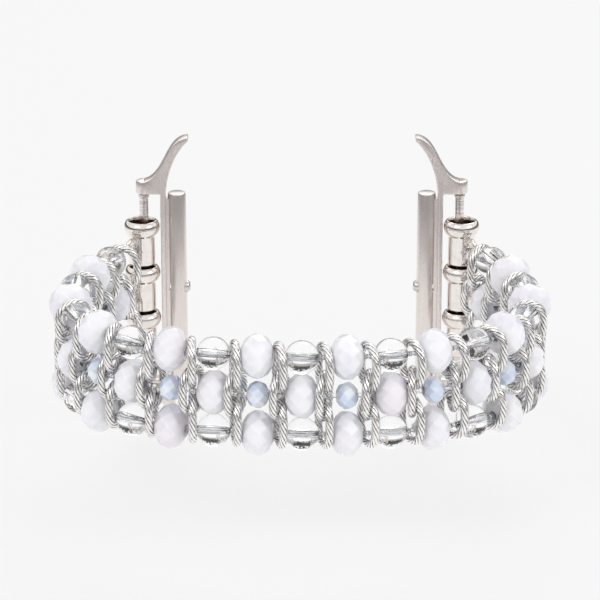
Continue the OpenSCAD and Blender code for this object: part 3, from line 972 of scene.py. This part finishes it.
class STRAP_OT_spring_bars(bpy.types.Operator):
    """Turn the spring bar tubes and their sprung tips"""

    bl_idname = "strap.spring_bars"
    bl_label = "Spring bars"

    def execute(self, context):
        for side in SIDES:
            tube = coat(at_bar(bar_tube_model(), side), drawn_steel)
            tube.name = f"spring_bar_{side}"
            hand_over(tube, f"adapter_{side}", "satin_steel", f"bar_tube_{side}")
            for word in ("upper", "lower"):
                tip = tip_model()
                if word == "lower":
                    tip.data.transform(Matrix.Rotation(math.pi, 4, "X"))
                coat(at_bar(tip, side), drawn_steel)
                tip.name = f"spring_bar_tip_{side}_{word}"
                hand_over(tip, f"bar_tip_{side}_{word}", "satin_steel",
                          f"bar_tip_{side}_{word}")
        return {"FINISHED"}


def bezier(a, b, c, d, t):
    """Point of a curve from a to d, t of the way along."""
    s = 1 - t
    return tuple(s ** 3 * p + 3 * t * s * s * q + 3 * t * t * s * u + t ** 3 * v
                 for p, q, u, v in zip(a, b, c, d))


def adapter_outline():
    """Outline of the adapter from the side, as (distance from the middle, height) in mm."""
    bar_x, case_x, boss_low, boss_top = (v / MM for v in (BAR_X, CASE_X, BOSS_LOW, BOSS_TOP))
    horn_x, horn_z, foot_x, steps = 18.7, 26.2, 23.4, 14
    corner, corner_low, corner_rise = 7.2, 14.5, 11.0
    top = [bezier((horn_x, horn_z), (case_x, horn_z), (case_x, 19.3), (bar_x, boss_top), n / steps)
           for n in range(steps + 1)]
    # Round the case's corner, part of an ellipse.
    first = math.asin(1 - (case_x - horn_x) / corner)
    turns = [first + (math.pi / 2 - first) * n / steps for n in range(steps + 1)]
    inner = [(case_x - corner * (1 - math.sin(t)),
              corner_low + corner_rise / math.cos(first) * math.cos(t)) for t in turns]
    half = ([(case_x, z) for z in (5.0, 10.0)] + inner[::-1] + top
            + [(bar_x, boss_low), (foot_x, boss_low)])
    return half + [(x, -z) for x, z in half[::-1]]


def adapter_model():
    """The adapter with the spring bar's axis as Z: side plate, bosses, neck and rail."""
    outline = adapter_outline()
    thick = 2.4 * MM
    start_clean()
    bpy.ops.mesh.primitive_circle_add(vertices=len(outline), radius=MM, fill_type="NGON")
    obj = bpy.context.object
    obj.name = "adapter"
    for vertex, (x, z) in zip(obj.data.vertices, outline):
        vertex.co = (x * MM - BAR_X, -thick / 2, z * MM)
    edit(obj)
    bpy.ops.mesh.extrude_region_move(TRANSFORM_OT_translate={"value": (0, thick, 0)})
    bpy.ops.mesh.select_all(action="SELECT")
    bpy.ops.mesh.normals_make_consistent(inside=False)
    leave(obj)
    soft_edges(obj, 0.2 * MM, 35)
    for sign in (1, -1):
        low, high = sorted((sign * BOSS_LOW, sign * BOSS_TOP))
        cut_or_join(obj, round_bar("boss", 1.3 * MM, low, high, 40, chamfer=0.25 * MM), "UNION")
    # The rail fits the slot in the case; a thinner neck joins it to the plate.
    rail_half, neck = 16.5 * MM, (2.1 * MM, 1.5 * MM, 31 * MM)
    rail = round_bar("rail", RAIL_R, -rail_half, rail_half, 40, chamfer=0.3 * MM)
    rail.data.transform(Matrix.Translation((RAIL_X - BAR_X, 0, 0)))
    start_clean()
    bpy.ops.mesh.primitive_cube_add(size=1, location=(RAIL_X - BAR_X + neck[0] / 2, 0, 0),
                                    scale=neck)
    cut_or_join(obj, into_mesh(bpy.context.object), "UNION")
    cut_or_join(obj, rail, "UNION")
    # Holes for the tips of the spring bar, from just under each boss, and for the plunger.
    for sign in (1, -1):
        low, high = sorted((sign * (BOSS_LOW - 0.5 * MM), sign * (BOSS_TOP - 0.8 * MM)))
        cut_or_join(obj, round_bar("hole", 0.55 * MM, low, high, 32), "DIFFERENCE")
    hole = round_bar("hole", 1.05 * MM, -3.0 * MM, 1.4 * MM, 32)
    hole.data.transform(Matrix.Rotation(math.pi / 2, 4, "Y"))
    hole.data.transform(Matrix.Translation((RAIL_X - BAR_X, 0, 0)))
    cut_or_join(obj, hole, "DIFFERENCE")
    return smooth(settle(obj), 32)


class STRAP_OT_adapters(bpy.types.Operator):
    """Cut the adapters with their horns, bosses and slot rails"""

    bl_idname = "strap.adapters"
    bl_label = "Adapters"

    def execute(self, context):
        model = coat(adapter_model(), satin_steel)
        for side in SIDES:
            adapter = at_bar(copy_to(model, f"slot_adapter_{side}", Matrix()), side)
            hand_over(adapter, f"adapter_{side}", "satin_steel", f"adapter_{side}")
        drop(model)
        return {"FINISHED"}


class STRAP_OT_plungers(bpy.types.Operator):
    """Finish the sprung plungers in the rails"""

    bl_idname = "strap.plungers"
    bl_label = "Lock plungers"

    def execute(self, context):
        outline = [(0.0, 0.0), (0.55, 0.02), (0.72, 0.1), (0.97, 0.38), (1.0, 0.5), (1.0, 2.52),
                   (0.94, 2.6), (0.0, 2.6)]
        stands_out = 0.6 * MM
        for side in SIDES:
            obj = smooth(turned(f"rail_plunger_{side}", outline, 36), 30)
            obj.data.transform(Matrix.Rotation(math.pi / 2, 4, "Y"))
            obj.data.transform(Matrix.Translation((RAIL_X - BAR_X - RAIL_R - stands_out, 0, 0)))
            coat(at_bar(obj, side), drawn_steel)
            hand_over(obj, f"lock_plunger_{side}", "satin_steel", f"lock_plunger_{side}")
        return {"FINISHED"}


# stage


def ray_kinds(tree):
    """Light Path's sockets, and 1 for a ray that comes by way of metal or glass."""
    rays = add_node(tree, "ShaderNodeLightPath").outputs
    mirrored = add_node(tree, "ShaderNodeMath",
                        {0: rays["Is Glossy Ray"], 1: rays["Is Transmission Ray"]},
                        operation="ADD", use_clamp=True)
    return rays, mirrored.outputs["Value"]


def white_paper():
    """Matt coated paper, rolled: even and without gloss. Seen by the camera, or in metal
    and glass, it is nearly evenly lit; it is lit less far away, which metal and glass show
    as their dark edges."""
    paper, tree, shader, place = new_material(
        "Matt_white_paper", Base_Color=srgb("#F4F4F4"), Roughness=0.9, Specular_IOR_Level=0.0)
    rays, mirrored = ray_kinds(tree)
    share = add_node(tree, "ShaderNodeMath", {0: rays["Is Camera Ray"], 1: 0.75, 2: mirrored},
                     operation="MULTIPLY_ADD", use_clamp=True)
    away = add_node(tree, "ShaderNodeVectorMath", {0: place}, operation="LENGTH")
    fall = add_node(tree, "ShaderNodeValToRGB", {"Fac": away.outputs["Value"]},
                    ((0.2, srgb("#FFFFFF")), (0.4, srgb("#A6A4A3"))))
    tone = add_node(tree, "ShaderNodeMix", {"Factor": mirrored, "A": srgb("#F6F6F6"),
                                            "B": fall.outputs["Color"]}, data_type="RGBA")
    glow = add_node(tree, "ShaderNodeEmission",
                    {"Color": tone.outputs["Result"], "Strength": 1.0})
    mix = add_node(tree, "ShaderNodeMixShader", {0: share.outputs["Value"],
                                                 1: shader.outputs["BSDF"],
                                                 2: glow.outputs["Emission"]})
    feed(tree, tree.nodes["Material Output"].inputs["Surface"], mix.outputs["Shader"])
    return paper


def soft_daylight():
    """Even pale light; metal and glass show the room round the light tent as well, which
    is dark near the horizon."""
    world = bpy.data.worlds.new("soft_daylight")
    world.use_nodes = True
    tree = world.node_tree
    sky = tree.nodes["Background"]
    feed(tree, sky.inputs["Color"], srgb("#F7F7F7"))
    feed(tree, sky.inputs["Strength"], 0.88)
    towards = add_node(tree, "ShaderNodeTexCoord").outputs["Generated"]
    height = add_node(tree, "ShaderNodeSeparateXYZ", {0: towards})
    room = add_node(tree, "ShaderNodeValToRGB", {"Fac": height.outputs["Z"]},
                    ((0.0, srgb("#AAA7A5")), (0.06, srgb("#3A3634")),
                     (0.18, srgb("#3A3634")), (0.29, srgb("#F8F8F8"))))
    tent = add_node(tree, "ShaderNodeBackground",
                    {"Color": room.outputs["Color"], "Strength": 1.0})
    _, mirrored = ray_kinds(tree)
    both = add_node(tree, "ShaderNodeMixShader", {0: mirrored, 1: sky.outputs["Background"],
                                                  2: tent.outputs["Background"]})
    feed(tree, tree.nodes["World Output"].inputs["Surface"], both.outputs["Shader"])
    return world


def soft_lamp(name, where, size, power):
    """A large lamp that shines at the middle of the strap."""
    start_clean()
    bpy.ops.object.light_add(type="AREA", location=where)
    lamp = bpy.context.object
    lamp.name = name
    lamp.data.shape = "ELLIPSE"
    lamp.data.size, lamp.data.size_y = size
    lamp.data.energy = power
    away = Vector(where) - Vector((0, -0.01, 0.02))
    lamp.rotation_euler = away.to_track_quat("Z", "Y").to_euler()


def photo_camera():
    """The camera at the photograph's angle, in front of the strap and above it."""
    start_clean()
    bpy.ops.object.camera_add()
    camera = bpy.context.object
    aim = Vector((0.01 * MM, 0.49 * MM, MIDDLE_Z + 6.45 * MM))
    elevation, distance = math.radians(19.67), 0.450
    camera.location = aim + Vector((0, -math.cos(elevation), math.sin(elevation))) * distance
    camera.rotation_euler = (math.pi / 2 - elevation, 0, 0)
    camera.data.sensor_width = 36.0
    camera.data.lens = 170.42
    camera.data.clip_start, camera.data.clip_end = 0.01, 20.0
    return camera


class STRAP_OT_stage(bpy.types.Operator):
    """Set up the pale floor, the soft light and the camera"""

    bl_idname = "strap.stage"
    bl_label = "Stage"

    def execute(self, context):
        scene = context.scene
        start_clean()
        bpy.ops.mesh.primitive_plane_add(size=6.0, location=(0, 0, 0))
        floor = bpy.context.object
        floor.name = "floor"
        floor.data.materials.append(white_paper())
        scene.world = soft_daylight()
        soft_lamp("soft_key", (-0.35, -0.45, 0.65), (0.5, 0.35), 1.1)
        soft_lamp("soft_fill", (0.5, -0.3, 0.45), (0.4, 0.3), 0.7)
        soft_lamp("soft_back", (0.1, 0.5, 0.55), (0.6, 0.2), 0.8)
        scene.camera = photo_camera()
        scene.view_settings.view_transform = "Standard"
        return {"FINISHED"}


class STRAP_PT_sidebar(bpy.types.Panel):
    """Lists the steps that build the strap"""

    bl_label = "Beaded strap"
    bl_idname = "STRAP_PT_sidebar"
    bl_space_type = "VIEW_3D"
    bl_region_type = "UI"
    bl_category = "Strap"

    def draw(self, context):
        for step in STEPS:
            self.layout.operator(step.bl_idname)
        for group in (context.scene.strap_sizes, context.scene.strap_colours):
            box = self.layout.box()
            for name in group.bl_rna.properties.keys():
                if name not in ("rna_type", "name"):
                    box.prop(group, name)


STEPS = (
    STRAP_OT_white_beads,
    STRAP_OT_blue_beads,
    STRAP_OT_clear_beads,
    STRAP_OT_links,
    STRAP_OT_cords,
    STRAP_OT_bails,
    STRAP_OT_spring_bars,
    STRAP_OT_adapters,
    STRAP_OT_plungers,
    STRAP_OT_stage,
)
CLASSES = (StrapSizes, StrapColours, *STEPS, STRAP_PT_sidebar)


def register():
    for kind in CLASSES:
        bpy.utils.register_class(kind)
    bpy.types.Scene.strap_sizes = PointerProperty(type=StrapSizes)
    bpy.types.Scene.strap_colours = PointerProperty(type=StrapColours)


def unregister():
    del bpy.types.Scene.strap_colours
    del bpy.types.Scene.strap_sizes
    for kind in reversed(CLASSES):
        bpy.utils.unregister_class(kind)


def main():
    register()
    bpy.ops.strap.white_beads()
    bpy.ops.strap.blue_beads()
    bpy.ops.strap.clear_beads()
    bpy.ops.strap.links()
    bpy.ops.strap.cords()
    bpy.ops.strap.bails()
    bpy.ops.strap.spring_bars()
    bpy.ops.strap.adapters()
    bpy.ops.strap.plungers()
    bpy.ops.strap.stage()


if __name__ == "__main__":
    main()
